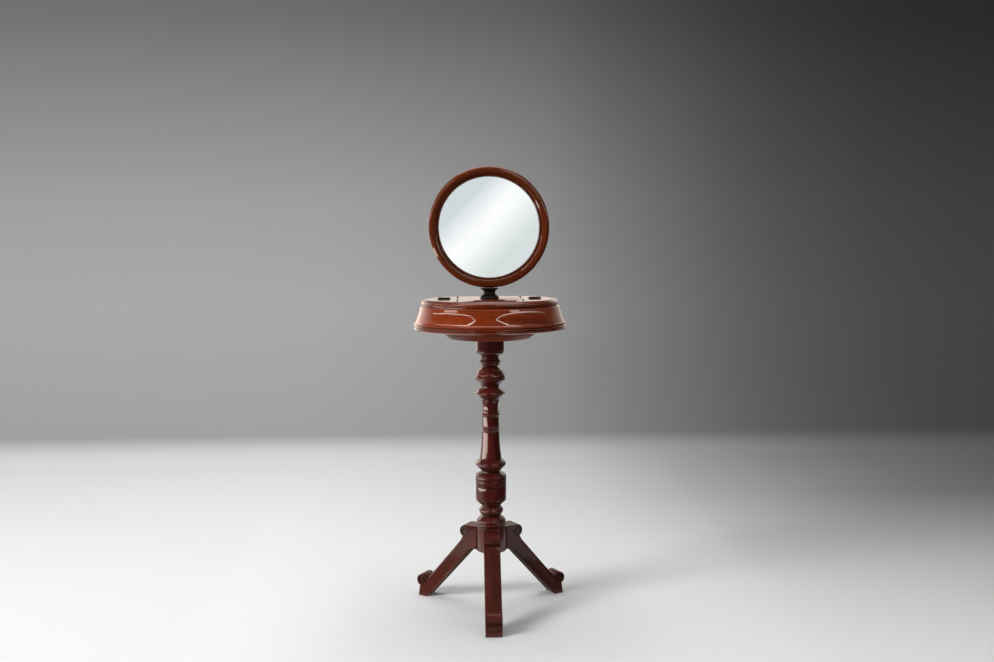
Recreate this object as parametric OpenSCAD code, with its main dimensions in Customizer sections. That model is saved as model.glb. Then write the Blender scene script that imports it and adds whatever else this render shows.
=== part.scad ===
// Vanity mirror on a pedestal: a gentleman's shaving stand in turned mahogany.
// Three scroll legs carry a turned pillar, a moulded drum with two lidded wells,
// and a round bevelled mirror that rises, turns and tilts on a post.
// Millimetres, +Z up, origin on the floor at the pillar's axis. The mirror faces -Y.

/* [Legs] */
// Reach of each foot from the axis
leg_reach = 257; // [240:0.5:266]
// Width of a leg across its flat sides
leg_w = 49; // [36:1:54]
// Height of the hub's underside above the floor
leg_rise = 178; // [165:1:200]
// Radius of the scroll at the top of a leg
top_scroll_r = 19; // [15:0.5:21]
// Radius of the scroll at the foot
foot_scroll_r = 18.5; // [15:0.5:21]
// Depth of a leg's shank at its top, square to its slope
shank_d = 42.5; // [36:0.5:46]
// Depth of the shank where it meets the foot's scroll
shank_end_d = 37.5; // [30:0.5:42]
// Height of the centre of the foot's scroll
foot_scroll_z = 50.5; // [44:0.5:60]
// Length of the sole that rests on the floor
sole_l = 30; // [24:1:36]
// Width of the groove carved as a spiral in each scroll
carve_w = 3; // [2:0.1:3.5]
// Depth of that groove
carve_d = 2.2; // [0.8:0.1:3]
// Depth of the dovetail that a leg slides into the hub with
dovetail_d = 14; // [8:0.5:16]
// Thickness of the iron brace under the hub
brace_t = 3; // [2:0.5:5]

/* [Pillar] */
// Radius of the hub that takes the legs
hub_r = 45; // [42:0.5:50]
// Height of the plain stretch of the hub
hub_h = 74.4; // [66:0.2:90]
// Radius of the barrel
barrel_r = 47; // [42:0.5:50]
// Height of the plain stretch of the barrel
barrel_h = 42; // [30:0.5:60]
// Radius of the slender shaft at its top
shaft_r = 25.8; // [22:0.2:30]
// Height of the shaft's taper
taper_h = 83; // [60:1:120]
// Radius of the rings and the bulb
ring_r = 45.5; // [40:0.5:50]
// Radius of the waists between the mouldings
waist_r = 28.5; // [26:0.5:32]
// Radius of the collar under the drum
collar_r = 42.5; // [38:0.5:50]
// Height of that collar
collar_h = 35; // [20:1:50]
// Radius of the tenons that join the pillar's lengths
tenon_r = 16; // [12:0.5:18]
// Length of those tenons
tenon_l = 30; // [20:1:40]

/* [Drum] */
// Radius of the drum at its widest bead
drum_r = 230; // [210:1:250]
// How far the top of the frieze stands back from that bead
frieze_set = 20; // [16:0.5:23]
// Thickness of the drum's wall at that bead
drum_wall = 33; // [30:0.5:38]
// How far the top board's edge stands back from that bead
top_set = 24; // [21:0.5:30]
// Thickness of the top board
top_t = 18; // [17:0.5:24]
// Height of the frieze
frieze_h = 54; // [40:1:80]
// Height of the base moulding
base_h = 19; // [18:1:30]
// Thickness of the drum's floor
floor_t = 12; // [8:0.5:14]
// Radius of the stepped boss under the drum
boss_r = 140; // [125:1:160]
// Thickness of that boss
boss_t = 27; // [20:0.5:34]
// Thickness of the partitions beside the wells
partition_t = 8; // [5:0.5:10]

/* [Lids] */
// Distance from the axis to each lid's hinge line
hinge_x = 96; // [88:1:104]
// Margin of the top board outside the lids' curved edge
lid_margin = 20; // [15:0.5:24]
// Half the length of a lid, front to back
lid_half = 130; // [110:1:136]
// Thickness of a lid
lid_t = 12; // [10:0.5:14]
// Width of the ledge that a lid rests on
ledge_w = 6; // [4:0.5:8]
// Distance from the axis to the middle of a pull
pull_x = 136; // [130:1:144]
// Length of a pull
pull_l = 41; // [30:1:50]
// Height of a pull above its lid
pull_h = 5; // [3:0.5:7]
// Length of one butt hinge
hinge_l = 40; // [30:1:50]
// Distance of each hinge from the middle of its lid
hinge_y = 80; // [60:1:95]

/* [Post and neck] */
// Radius of the sliding post
post_r = 9; // [8:0.25:9.5]
// How far the post slides up
post_lift = 220; // [120:5:220]
// Height of the black neck, from the drum to the mirror's ring
neck_h = 31; // [30:0.5:40]
// Radius of the neck's foot
neck_foot_r = 29; // [26:0.5:34]
// Radius of the neck's waist
neck_waist_r = 18; // [16.5:0.25:20]
// Radius of the neck's flared top
neck_top_r = 27.5; // [26:0.5:30]
// Wall of the brass bush in the neck
bush_wall = 3.5; // [2.5:0.1:3.5]
// Radius of the clamp screw
clamp_r = 2.5; // [2:0.1:3]

/* [Mirror] */
// Outer radius of the ring
frame_r = 180; // [162:1:198]
// Width of the ring's moulding, from its outer edge to the glass
ring_w = 30; // [27:0.5:36]
// Thickness of the ring, front to back
frame_t = 27; // [25:0.5:32]
// Thickness of the bevelled glass
glass_t = 5; // [4:0.5:6]
// Width of the bevel on the glass
bevel_w = 10; // [6:0.5:16]
// Width of the rebate that holds the glass
rebate_w = 6.5; // [5:0.5:7]
// Thickness of the back board
back_t = 8; // [5:0.5:9]
// Gap between the ring and the neck's flared top
ring_gap = 2; // [1.5:0.1:4]
// Distance of the tilt pin behind the ring's back
pin_back = 8; // [7.5:0.1:10]
// Radius of the tilt pin
pin_r = 2.5; // [2:0.1:3]

/* [Hidden] */
$fn = 96;

// Clearances: a running fit, a glued or screwed seat, and a gap between moving faces
run_fit = 0.05;
seat_fit = 0.1;
air = 0.3;
eps = 0.01;

// Finishes
mahogany = "#5B2317";
mahogany_dark = "#431610";
ebony = "#1B1210";
deal = "#8A6238";
brass = "#A9823F";
iron = "#3A3532";
silver = "#E4E9EA";

// Kinds of turned moulding, each a rule for how the radius moves over one length
LINE = 0;
EASE_IN = 1;
EASE_OUT = 2;
ARC_STEPS = 9;

// Share of the change in radius that is reached at t, from 0 to 1
function ease(kind, t) =
    kind == EASE_IN ? 1 - cos(90 * t) :
    kind == EASE_OUT ? sin(90 * t) : t;

// Total of the numbers in a list, and the height of a list of mouldings
function total(list, i = 0) = i >= len(list) ? 0 : list[i] + total(list, i + 1);
function height(cuts) = total([for (c = cuts) c[1]]);
function bulge(cut) = len(cut) > 3 ? cut[3] : 0;

// Outline of mouldings cut downwards from radius r0 at height z0.
// Each cut is [kind, height, radius at its lower end, swell in its middle].
function turned(r0, z0, cuts) = [
    for (i = [0:len(cuts) - 1])
        let (
            cut = cuts[i],
            za = z0 - total([for (k = [0:1:i - 1]) cuts[k][1]]),
            ra = i == 0 ? r0 : cuts[i - 1][2],
            plain = cut[0] == LINE && bulge(cut) == 0,
            steps = plain ? 1 : ARC_STEPS
        )
        for (s = [1:steps])
            let (t = s / steps)
            [
                ra + (cut[2] - ra) * ease(cut[0], t) + bulge(cut) * sin(180 * t),
                za - cut[1] * t
            ]
];

// A solid turned from such mouldings
module turning(r0, z0, cuts) {
    outline = turned(r0, z0, cuts);
    rotate_extrude()
        polygon(concat([[0, z0], [r0, z0]], outline, [[0, z0 - height(cuts)]]));
}

// A fine turned groove
groove_w = 1.6;
groove_d = 0.9;
function groove(r) = [
    [LINE, groove_w / 2, r - groove_d],
    [LINE, groove_w / 2, r]
];

// Offsets of the pillar's fillets and bands, and the heights that several mouldings share
fillet = 2.5;
quirk = 0.8;
fillet_h = 1;
step_h = 2;
ovolo_h = 17;

// A wide channel with sloping sides
channel_h = 4;
channel_d = 2.4;
function channel(r) = [
    [LINE, channel_h / 4, r - channel_d],
    [LINE, channel_h / 2, r - channel_d],
    [LINE, channel_h / 4, r]
];

// The pillar's foot: torus, ovolo, bead and channel above the plain hub
torus_h = 29;
torus_swell = 8.5;
foot_band_h = 4;
foot_bead_h = 7;
foot_cuts = concat(
    [
        [LINE, fillet_h, waist_r],
        [LINE, torus_h, waist_r, torus_swell],
        [LINE, fillet_h, waist_r + fillet / 2],
        [EASE_OUT, ovolo_h, hub_r - quirk],
        [LINE, foot_band_h, hub_r - quirk]
    ],
    groove(hub_r - quirk),
    [[LINE, foot_bead_h, hub_r - quirk, fillet / 2]],
    channel(hub_r),
    [[LINE, hub_h, hub_r]]
);

// The shaft: cove, bead, reeds, taper, sharp ring and grooved barrel
shaft_cove_h = 24.7;
throat_h = 8;
collar_band_h = 6;
shaft_bead_h = 10;
shaft_bead_swell = 3;
plain_h = 29;
reed_h = 5.6;
reed_swell = 1.3;
taper_out = 7;
ring_top_h = 15;
ring_under_h = 17.4;
ring_swell = 1;
shoulder_h = 11;
barrel_band_h = 2;
barrel_gap = 9.6;
barrel_plain_h = 14.2;
chamfer_h = 18;
shaft_cuts = concat(
    [
        [EASE_OUT, shaft_cove_h, shaft_r - fillet],
        [LINE, throat_h, shaft_r - fillet],
        [LINE, fillet_h * 1.5, shaft_r - quirk],
        [LINE, collar_band_h, shaft_r - quirk],
        [LINE, shaft_bead_h, shaft_r + quirk, shaft_bead_swell],
        [LINE, step_h, shaft_r],
        [LINE, plain_h, shaft_r]
    ],
    [for (reed = [1:3]) [LINE, reed_h, shaft_r, reed_swell]],
    [
        [LINE, step_h, shaft_r + quirk],
        [EASE_IN, taper_h, shaft_r + taper_out],
        [EASE_OUT, ring_top_h, ring_r],
        [LINE, fillet_h, ring_r]
    ],
    groove(ring_r),
    [
        [LINE, fillet_h, ring_r],
        [LINE, ring_under_h, waist_r, ring_swell],
        [LINE, 2 * step_h, waist_r],
        [EASE_OUT, shoulder_h, barrel_r],
        [LINE, barrel_band_h, barrel_r]
    ],
    groove(barrel_r),
    [[LINE, barrel_gap, barrel_r]],
    groove(barrel_r),
    [[LINE, barrel_plain_h, barrel_r]],
    channel(barrel_r),
    [
        [LINE, barrel_h, barrel_r],
        [LINE, chamfer_h, waist_r - fillet / 2, ring_swell]
    ]
);

// The capital: plain collar, ovolo, three reeds, bulb with a sharp rim, and flared foot
collar_lip_h = 3.4;
capital_cove_h = 17;
capital_reed_h = 7.25;
capital_reed_swell = 2.5;
capital_bead_h = 9.5;
capital_bead_swell = 6;
capital_bell_h = 10;
bulb_h = 22.5;
rim_h = 2;
bulb_foot_h = 19;
capital_neck_h = 4;
capital_flare_h = 18;
capital_under_h = 17.8;
capital_cuts = concat(
    [
        [LINE, collar_h, collar_r],
        [LINE, collar_lip_h, collar_r + quirk]
    ],
    groove(collar_r),
    [
        [EASE_IN, capital_cove_h, waist_r - fillet],
        [LINE, step_h, waist_r - fillet],
        [LINE, capital_reed_h, waist_r, capital_reed_swell],
        [LINE, capital_bead_h, waist_r, capital_bead_swell],
        [LINE, capital_reed_h, waist_r - fillet, capital_reed_swell],
        [LINE, step_h + fillet_h, waist_r - 2 * fillet],
        [EASE_OUT, capital_bell_h, waist_r + 1.5 * fillet],
        [LINE, 1.5 * fillet_h, waist_r + 3.5 * fillet],
        [EASE_OUT, bulb_h, ring_r - fillet_h],
        [LINE, quirk, ring_r],
        [LINE, rim_h, ring_r]
    ],
    groove(ring_r),
    [
        [LINE, rim_h, ring_r],
        [LINE, quirk, ring_r - 1.5 * fillet],
        [LINE, bulb_foot_h, waist_r - fillet / 2],
        [LINE, capital_neck_h, waist_r - fillet / 2],
        [EASE_OUT, capital_flare_h, ring_r],
        [LINE, capital_under_h, shaft_r + fillet, fillet_h / 2]
    ]
);

// Radii that follow from the drum's and the ring's
frieze_r = drum_r - frieze_set;
hollow_r = drum_r - drum_wall;
top_r = drum_r - top_set;
lid_r = top_r - lid_margin;
sight_r = frame_r - ring_w;

// Heights, stacked from the floor up
hub_z = leg_rise;
foot_top_z = hub_z + height(foot_cuts);
shaft_top_z = foot_top_z + height(shaft_cuts);
capital_top_z = shaft_top_z + height(capital_cuts);
drum_z = capital_top_z + boss_t;
frieze_z = drum_z + base_h;
board_z = frieze_z + frieze_h;
top_z = board_z + top_t;
flare_z = top_z + neck_h;
ring_z = flare_z + ring_gap;
mirror_z = ring_z + frame_r;

// Leg outline, in the plane through the axis: x is the distance from the axis
knee_out = 16;
knee_drop = 2;
scroll_gap = 14.5;
scroll_rise = 52.5;
head_rise = 72;
brow_run = 2;
notch_in = 2;
throat_in = 2.5;
foot_scroll = [leg_reach - foot_scroll_r, foot_scroll_z];
top_scroll = [hub_r + top_scroll_r + scroll_gap, hub_z + scroll_rise];
sole_set = 5.5;
ankle_in = 4.5;
sole_out = leg_reach - sole_set;
sole_in = sole_out - sole_l;
knee = [hub_r + knee_out, hub_z - knee_drop];
shank = [sole_in, 0] - knee;
shank_dir = shank / norm(shank);
shank_up = [-shank_dir[1], shank_dir[0]];
brow = knee + shank_up * shank_d + shank_dir * brow_run;
throat = [sole_in, 0] + shank_up * shank_end_d - shank_dir * (foot_scroll_z - throat_in);
leg_head_z = hub_z + head_rise;
dovetail_h = leg_head_z - hub_z - 12;
dovetail_w = leg_w * 0.35;
LEG_TURNS = [["leg_front", -90], ["leg_right", 30], ["leg_left", 150]];

// Centre line of a carved spiral, drawn in from radius r by turns about its eye
SPIRAL_STEPS = 40;
spiral_turns = 1.35;
spiral_in = 0.5;
function spiral(r, turns, side) = [
    for (s = [0:SPIRAL_STEPS])
        let (
            t = s / SPIRAL_STEPS,
            rad = (r - 1.4 * carve_w) * (1 - spiral_in * t) + side * carve_w / 2 * (1 - 0.4 * t),
            a = 360 * turns * t
        )
        rad * [cos(a), sin(a)]
];
function backwards(list) = [for (i = [len(list) - 1:-1:0]) list[i]];

module spiral_cut(centre, r, start, turn) {
    line = concat(spiral(r, spiral_turns, 1), backwards(spiral(r, spiral_turns, -1)));
    translate(centre)
        rotate(start)
            scale([1, turn, 1])
                polygon(line);
}

module leg_outline() {
    polygon([
        [0, hub_z], [knee[0], hub_z], knee, [sole_in, 0], [sole_out, 0],
        [sole_out - ankle_in, foot_scroll_z * 0.6], foot_scroll, throat, brow,
        [brow[0] - notch_in, brow[1] + 2 * notch_in], top_scroll,
        [top_scroll[0], top_scroll[1] + top_scroll_r], [0, leg_head_z]
    ]);
    translate(foot_scroll)
        circle(foot_scroll_r);
    translate(top_scroll)
        circle(top_scroll_r);
}

module leg_carving() {
    spiral_cut(top_scroll, top_scroll_r, 100, -1);
    spiral_cut(foot_scroll, foot_scroll_r, 190, -1);
}

// Plan of the dovetail, wider inside the hub than at its surface
module dovetail(gap) {
    translate([0, 0, hub_z - eps * gap])
        linear_extrude(dovetail_h + gap)
            polygon([
                [hub_r + 3, dovetail_w / 2 + gap],
                [hub_r - 2, dovetail_w / 2 + gap],
                [hub_r - dovetail_d - gap, dovetail_w * 0.68 + gap],
                [hub_r - dovetail_d - gap, -dovetail_w * 0.68 - gap],
                [hub_r - 2, -dovetail_w / 2 - gap],
                [hub_r + 3, -dovetail_w / 2 - gap]
            ]);
}

module leg(turn) {
    color(mahogany_dark)
        rotate(turn) {
            difference() {
                rotate([90, 0, 0])
                    linear_extrude(leg_w, center = true)
                        leg_outline();
                cylinder(h = top_z, r = hub_r + seat_fit);
                for (side = [-1, 1])
                    translate([0, side * (leg_w / 2 - carve_d / 2 + eps), 0])
                        rotate([90, 0, 0])
                            linear_extrude(carve_d + 2 * eps, center = true)
                                leg_carving();
                for (r = brace_screw_r)
                    translate([r, 0, hub_z - eps])
                        cylinder(h = brace_screw_l, r = screw_r);
            }
            difference() {
                dovetail(0);
                cylinder(h = top_z, r = hub_r - dovetail_d - eps);
            }
        }
}

// Iron brace: a disc and three arms under the hub and the legs' roots
brace_disc_r = 30;
brace_arm_r = knee[0] - 4;
brace_arm_w = leg_w * 0.45;
screw_r = 1.8;
screw_head_r = 3.6;
screw_head_h = 1.6;
brace_screw_r = [hub_r + 5];
brace_hub_r = 20;
brace_screw_l = 16;

module brace_spots() {
    for (leg = LEG_TURNS) {
        rotate(leg[1])
            translate([brace_screw_r[0], 0, 0])
                children();
        rotate(leg[1] + 60)
            translate([brace_hub_r, 0, 0])
                children();
    }
}

module leg_brace() {
    color(iron)
        translate([0, 0, hub_z - brace_t])
            linear_extrude(brace_t)
                difference() {
                    union() {
                        circle(brace_disc_r);
                        for (leg = LEG_TURNS)
                            rotate(leg[1])
                                translate([0, -brace_arm_w / 2])
                                    square([brace_arm_r, brace_arm_w]);
                    }
                    brace_spots()
                        circle(screw_r);
                }
}

// A slotted countersunk screw would be let in; these heads stand on the plate
module screw(l, head_r = screw_head_r, head_h = screw_head_h, r = screw_r) {
    cylinder(h = l, r = r);
    translate([0, 0, -head_h])
        cylinder(h = head_h, r = head_r);
}

module brace_screws() {
    color(iron)
        translate([0, 0, hub_z - brace_t])
            brace_spots()
                screw(brace_t + brace_screw_l - seat_fit);
}

module pillar_foot() {
    color(mahogany)
        difference() {
            turning(waist_r, foot_top_z, foot_cuts);
            for (leg = LEG_TURNS)
                rotate(leg[1])
                    dovetail(seat_fit);
            translate([0, 0, foot_top_z - tenon_l - seat_fit])
                cylinder(h = tenon_l + seat_fit + eps, r = tenon_r + seat_fit);
            for (leg = LEG_TURNS)
                rotate(leg[1] + 60)
                    translate([brace_hub_r, 0, hub_z - eps])
                        cylinder(h = brace_screw_l, r = screw_r);
        }
}

module pillar_shaft() {
    color(mahogany) {
        turning(shaft_r + fillet, shaft_top_z, shaft_cuts);
        translate([0, 0, foot_top_z - tenon_l])
            cylinder(h = tenon_l + eps, r = tenon_r);
        translate([0, 0, shaft_top_z - eps])
            cylinder(h = upper_tenon_l + eps, r = tenon_r);
    }
}

// The post runs in one straight bore, under a brass bush at its top
guide_r = post_r + 2.5;
bush_r = post_r + bush_wall;
bush_z = top_z - 30;
collar_l = 25;
post_z = bush_z - collar_l - post_lift - 5;
guide_z = post_z - 4;
upper_tenon_l = min(tenon_l, guide_z - shaft_top_z - 2);
drum_tenon_r = guide_r + 8.5;
block_r = drum_tenon_r + 14;
block_z = drum_z + floor_t;
drum_tenon_z = block_z + 12;

module pillar_capital() {
    color(mahogany)
        difference() {
            union() {
                turning(collar_r, capital_top_z, capital_cuts);
                translate([0, 0, capital_top_z - eps])
                    cylinder(h = drum_tenon_z - capital_top_z + eps, r = drum_tenon_r);
            }
            translate([0, 0, guide_z])
                cylinder(h = drum_tenon_z, r = guide_r);
            translate([0, 0, shaft_top_z - eps])
                cylinder(h = upper_tenon_l + seat_fit + eps, r = tenon_r + seat_fit);
        }
}

// Screws that hold the boss to the floor, and the floor to the base moulding
boss_screw_pcd = boss_r * 1.2;
floor_rim_r = hollow_r + 8;
floor_screw_r = hollow_r + 4;

module boss_spots() {
    for (turn = [45:90:315])
        rotate(turn)
            translate([boss_screw_pcd / 2, 0, 0])
                children();
}

module floor_spots() {
    for (turn = [22.5:45:337.5])
        rotate(turn)
            translate([floor_screw_r, 0, 0])
                children();
}

module drum_boss() {
    color(mahogany)
        difference() {
            turning(boss_r - 2, drum_z, [
                [LINE, 2, boss_r],
                [LINE, 2, boss_r],
                [EASE_IN, boss_t - 4, boss_r - 20]
            ]);
            translate([0, 0, capital_top_z - eps])
                cylinder(h = boss_t + 2 * eps, r = drum_tenon_r + seat_fit);
            boss_spots()
                translate([0, 0, capital_top_z - eps]) {
                    cylinder(h = boss_t + 2 * eps, r = screw_r + seat_fit);
                    cylinder(h = screw_head_h + seat_fit + eps, r = screw_head_r + seat_fit);
                }
        }
}

module boss_screws() {
    color(brass)
        boss_spots()
            translate([0, 0, capital_top_z + screw_head_h])
                screw(boss_t - screw_head_h + floor_t / 2);
}

module drum_floor() {
    color(deal)
        difference() {
            translate([0, 0, drum_z])
                cylinder(h = floor_t, r = floor_rim_r);
            translate([0, 0, drum_z - eps])
                cylinder(h = floor_t + 2 * eps, r = drum_tenon_r + seat_fit);
            boss_spots()
                translate([0, 0, drum_z - eps])
                    cylinder(h = floor_t / 2 + eps, r = screw_r);
            floor_spots()
                translate([0, 0, drum_z - eps])
                    cylinder(h = floor_t + 2 * eps, r = screw_r + seat_fit);
        }
}

module floor_screws() {
    color(brass)
        floor_spots()
            translate([0, 0, drum_z])
                screw(floor_t + (base_h - floor_t) / 2);
}

base_bead_h = 4;
base_swell_h = 3.5;
base_in = 20;
base_under_h = base_h - step_h - base_bead_h - channel_h - base_swell_h - fillet_h;

module base_moulding() {
    color(mahogany)
        difference() {
            turning(drum_r - 2 * step_h, frieze_z, concat(
                [
                    [LINE, step_h, drum_r - 2 * step_h],
                    [EASE_OUT, base_bead_h, drum_r - fillet_h]
                ],
                channel(drum_r - fillet_h),
                [
                    [EASE_OUT, base_swell_h, drum_r],
                    [LINE, fillet_h, drum_r],
                    [EASE_IN, base_under_h, drum_r - base_in]
                ]
            ));
            translate([0, 0, drum_z - eps])
                cylinder(h = floor_t + eps, r = floor_rim_r + seat_fit);
            translate([0, 0, drum_z - eps])
                cylinder(h = base_h + 2 * eps, r = hollow_r);
            floor_spots()
                translate([0, 0, drum_z])
                    cylinder(h = floor_t + (base_h - floor_t) / 2, r = screw_r);
        }
}

frieze_lip_h = 3;
frieze_hollow = 1.8;
flare_h = 6.5;
flare_out = 4.5;
flare_edge = 1.5;
hollow_h = frieze_h - frieze_lip_h - flare_h - flare_edge;

module frieze_ring() {
    color(mahogany)
        difference() {
            turning(top_r - 2 * step_h, board_z, [
                [EASE_OUT, frieze_lip_h, frieze_r],
                [LINE, hollow_h, drum_r - flare_edge - flare_out, -frieze_hollow],
                [EASE_OUT, flare_h, drum_r - flare_edge],
                [LINE, flare_edge, drum_r - flare_edge]
            ]);
            translate([0, 0, frieze_z - eps])
                cylinder(h = frieze_h + 2 * eps, r = hollow_r);
        }
}

module centre_block() {
    color(deal)
        difference() {
            translate([0, 0, block_z])
                cylinder(h = board_z - block_z, r = block_r);
            translate([0, 0, block_z - eps])
                cylinder(h = board_z - block_z + 2 * eps, r = guide_r);
            translate([0, 0, block_z - eps])
                cylinder(h = drum_tenon_z - block_z + seat_fit, r = drum_tenon_r + seat_fit);
            translate([0, 0, bush_z])
                cylinder(h = top_t + 5, r = bush_r + run_fit);
        }
}

module partition(side) {
    color(deal)
        intersection() {
            translate([0, 0, block_z])
                cylinder(h = board_z - block_z, r = hollow_r - seat_fit);
            translate([side * hinge_x - partition_t / 2, -hollow_r, block_z])
                cube([partition_t, 2 * hollow_r, board_z - block_z]);
        }
}

// Lids: a segment of the top, between the hinge line and the curved edge
seam = 1;
lid_taper = 3;
lid_z = top_z - lid_t;
leaf_t = 1.2;
leaf_h = lid_t - 1.5;
knuckle_r = 2.4;
hinge_pin_r = 1.2;

module well_plan(r, x0, half) {
    intersection() {
        circle(r);
        translate([x0, -half])
            square([r, 2 * half]);
    }
}

// Room for the two leaves and the knuckle of each hinge
module hinge_room() {
    for (y = [-hinge_y, hinge_y]) {
        translate([hinge_x - leaf_t - 0.2, y - hinge_l / 2 - seat_fit, lid_z + 1])
            cube([2 * leaf_t + 0.4, hinge_l + 2 * seat_fit, lid_t]);
        translate([hinge_x, y + hinge_l / 2 + seat_fit, top_z])
            rotate([90, 0, 0])
                cylinder(h = hinge_l + 2 * seat_fit, r = knuckle_r + air / 2);
    }
}

edge_in = 12;
edge_h = 6;
nose_h = 6;
nose_under_h = 4;

module top_board() {
    color(mahogany)
        difference() {
            turning(top_r - edge_in, top_z, [
                [EASE_OUT, edge_h, top_r - fillet_h],
                [EASE_OUT, nose_h, top_r],
                [EASE_IN, nose_under_h, top_r - step_h],
                [LINE, top_t - edge_h - nose_h - nose_under_h, top_r - step_h]
            ]);
            for (side = [0, 1])
                mirror([side, 0, 0]) {
                    translate([0, 0, lid_z - 0.2])
                        linear_extrude(lid_t + 1)
                            well_plan(lid_r + seam, hinge_x - seam / 2, lid_half + seam);
                    translate([0, 0, board_z - eps])
                        linear_extrude(top_t)
                            well_plan(lid_r - ledge_w, hinge_x + ledge_w, lid_half - ledge_w);
                    hinge_room();
                }
            translate([0, 0, board_z - eps])
                cylinder(h = top_t + 2 * eps, r = bush_r + run_fit);
        }
}

module lid() {
    color(mahogany)
        difference() {
            intersection() {
                translate([0, 0, lid_z])
                    rotate_extrude()
                        polygon([[0, 0], [lid_r - lid_taper, 0], [lid_r, lid_t], [0, lid_t]]);
                translate([hinge_x + seam / 2, -lid_half, lid_z])
                    cube([lid_r, 2 * lid_half, lid_t]);
            }
            hinge_room();
        }
}

// Black bar pull: a thin plate with round ends, and a narrow grip along it
pull_w = 12;
pull_plate_t = 1.5;

module bar(l, w, h) {
    translate([0, 0, h / 2])
        cube([l - w, w, h], center = true);
    for (end = [-1, 1])
        translate([end * (l - w) / 2, 0, 0])
            cylinder(h = h, r = w / 2);
}

module pull() {
    color(ebony)
        translate([pull_x, 0, top_z]) {
            bar(pull_l, pull_w, pull_plate_t);
            translate([0, 0, pull_plate_t - eps])
                bar(pull_l - 6, pull_w / 2, pull_h - pull_plate_t + eps);
        }
}

// Butt hinges: a fixed leaf with two knuckles, a moving one with the middle knuckle
knuckle_l = hinge_l / 3;
room = 2 * (knuckle_r + air);

module knuckle(y0, y1) {
    translate([hinge_x, y1, top_z])
        rotate([90, 0, 0])
            cylinder(h = y1 - y0, r = knuckle_r);
}

module pin_bore(y) {
    translate([hinge_x, y + hinge_l / 2 + 1, top_z])
        rotate([90, 0, 0])
            cylinder(h = hinge_l + 2, r = hinge_pin_r + run_fit);
}

module fixed_leaves() {
    color(brass)
        for (y = [-hinge_y, hinge_y])
            difference() {
                union() {
                    translate([hinge_x - leaf_t - 0.2, y - hinge_l / 2, top_z - leaf_h])
                        cube([leaf_t, hinge_l, leaf_h]);
                    knuckle(y - hinge_l / 2, y - knuckle_l / 2 - air / 2);
                    knuckle(y + knuckle_l / 2 + air / 2, y + hinge_l / 2);
                }
                translate([hinge_x, y, top_z])
                    cube([room, knuckle_l + air, room], center = true);
                pin_bore(y);
            }
}

module moving_leaves() {
    color(brass)
        for (y = [-hinge_y, hinge_y])
            difference() {
                union() {
                    translate([hinge_x + 0.2, y - hinge_l / 2, top_z - leaf_h])
                        cube([leaf_t, hinge_l, leaf_h]);
                    knuckle(y - knuckle_l / 2 + air / 2, y + knuckle_l / 2 - air / 2);
                }
                for (end = [-1, 1])
                    translate([hinge_x, y + end * (hinge_l + knuckle_l + 2) / 4, top_z])
                        cube([room, (hinge_l - knuckle_l) / 2 + 1, room], center = true);
                pin_bore(y);
            }
}

module hinge_pins() {
    color(brass)
        for (y = [-hinge_y, hinge_y])
            translate([hinge_x, y + hinge_l / 2, top_z])
                rotate([90, 0, 0])
                    cylinder(h = hinge_l, r = hinge_pin_r);
}

// The black neck, turned as one hourglass and parted at its waist
neck_foot_h = 7;
waist_z = flare_z - 11;
socket_z = waist_z - 0.5;
clamp_z = top_z + 11.5;
clamp_head_r = 6;
clamp_head_y = neck_foot_r + 1;
clamp_tip_y = post_r + air;

module neck_socket() {
    color(ebony)
        difference() {
            turning(neck_waist_r, socket_z, [
                [LINE, 2, neck_waist_r],
                [EASE_IN, socket_z - top_z - neck_foot_h - 2, neck_foot_r - 2],
                [LINE, neck_foot_h - 2, neck_foot_r, 0.5],
                [LINE, 2, neck_foot_r]
            ]);
            translate([0, 0, top_z - eps])
                cylinder(h = neck_h, r = bush_r + run_fit);
            translate([0, 0, clamp_z])
                rotate([-90, 0, 0])
                    cylinder(h = neck_foot_r + 5, r = clamp_r + run_fit);
        }
}

module post_bush() {
    color(brass)
        difference() {
            translate([0, 0, bush_z])
                cylinder(h = socket_z - bush_z, r = bush_r);
            translate([0, 0, bush_z - eps])
                cylinder(h = socket_z - bush_z + 2 * eps, r = post_r + run_fit);
            translate([0, 0, clamp_z])
                rotate([-90, 0, 0])
                    cylinder(h = bush_r + 5, r = clamp_r + run_fit);
        }
}

// Round-headed clamp screw at the back of the neck, cut with flats for the fingers
module clamp_screw() {
    color(brass)
        translate([0, 0, clamp_z])
            rotate([-90, 0, 0]) {
                translate([0, 0, clamp_tip_y])
                    cylinder(h = clamp_head_y - clamp_tip_y + 1, r = clamp_r);
                translate([0, 0, clamp_head_y])
                    difference() {
                        rotate_extrude()
                            polygon(concat(
                                [[0, 0], [clamp_head_r - 2, 0], [clamp_head_r, 1.5], [clamp_head_r, 5]],
                                [for (a = [15:15:90]) [clamp_head_r - 1.5 * (1 - cos(a)), 5 + 1.5 * sin(a)]],
                                [[0, 6.5]]
                            ));
                        for (side = [-1, 1])
                            translate([side * 4.6 - 1.5, -clamp_head_r, 2.5])
                                cube([3, 2 * clamp_head_r, 8]);
                    }
            }
}

// The post, its lower guide, and the screw that keeps the saddle on its spigot
spigot_r = post_r * 2 / 3;
spigot_z = flare_z - 3.2;
swivel_head_r = 8;

module mirror_post() {
    color(brass)
        difference() {
            union() {
                translate([0, 0, post_z])
                    cylinder(h = waist_z - post_z, r = post_r);
                translate([0, 0, waist_z - eps])
                    cylinder(h = spigot_z - waist_z + eps, r = spigot_r);
            }
            translate([0, 0, spigot_z - 12])
                cylinder(h = 13, r = screw_r);
        }
}

module post_collar() {
    color(iron)
        difference() {
            translate([0, 0, post_z])
                cylinder(h = collar_l, r = guide_r - run_fit);
            translate([0, 0, post_z - eps])
                cylinder(h = collar_l + 2 * eps, r = post_r);
        }
}

module swivel_screw() {
    color(brass)
        translate([0, 0, spigot_z])
            rotate([180, 0, 0])
                screw(11, head_r = swivel_head_r, head_h = 2.4);
}

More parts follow.
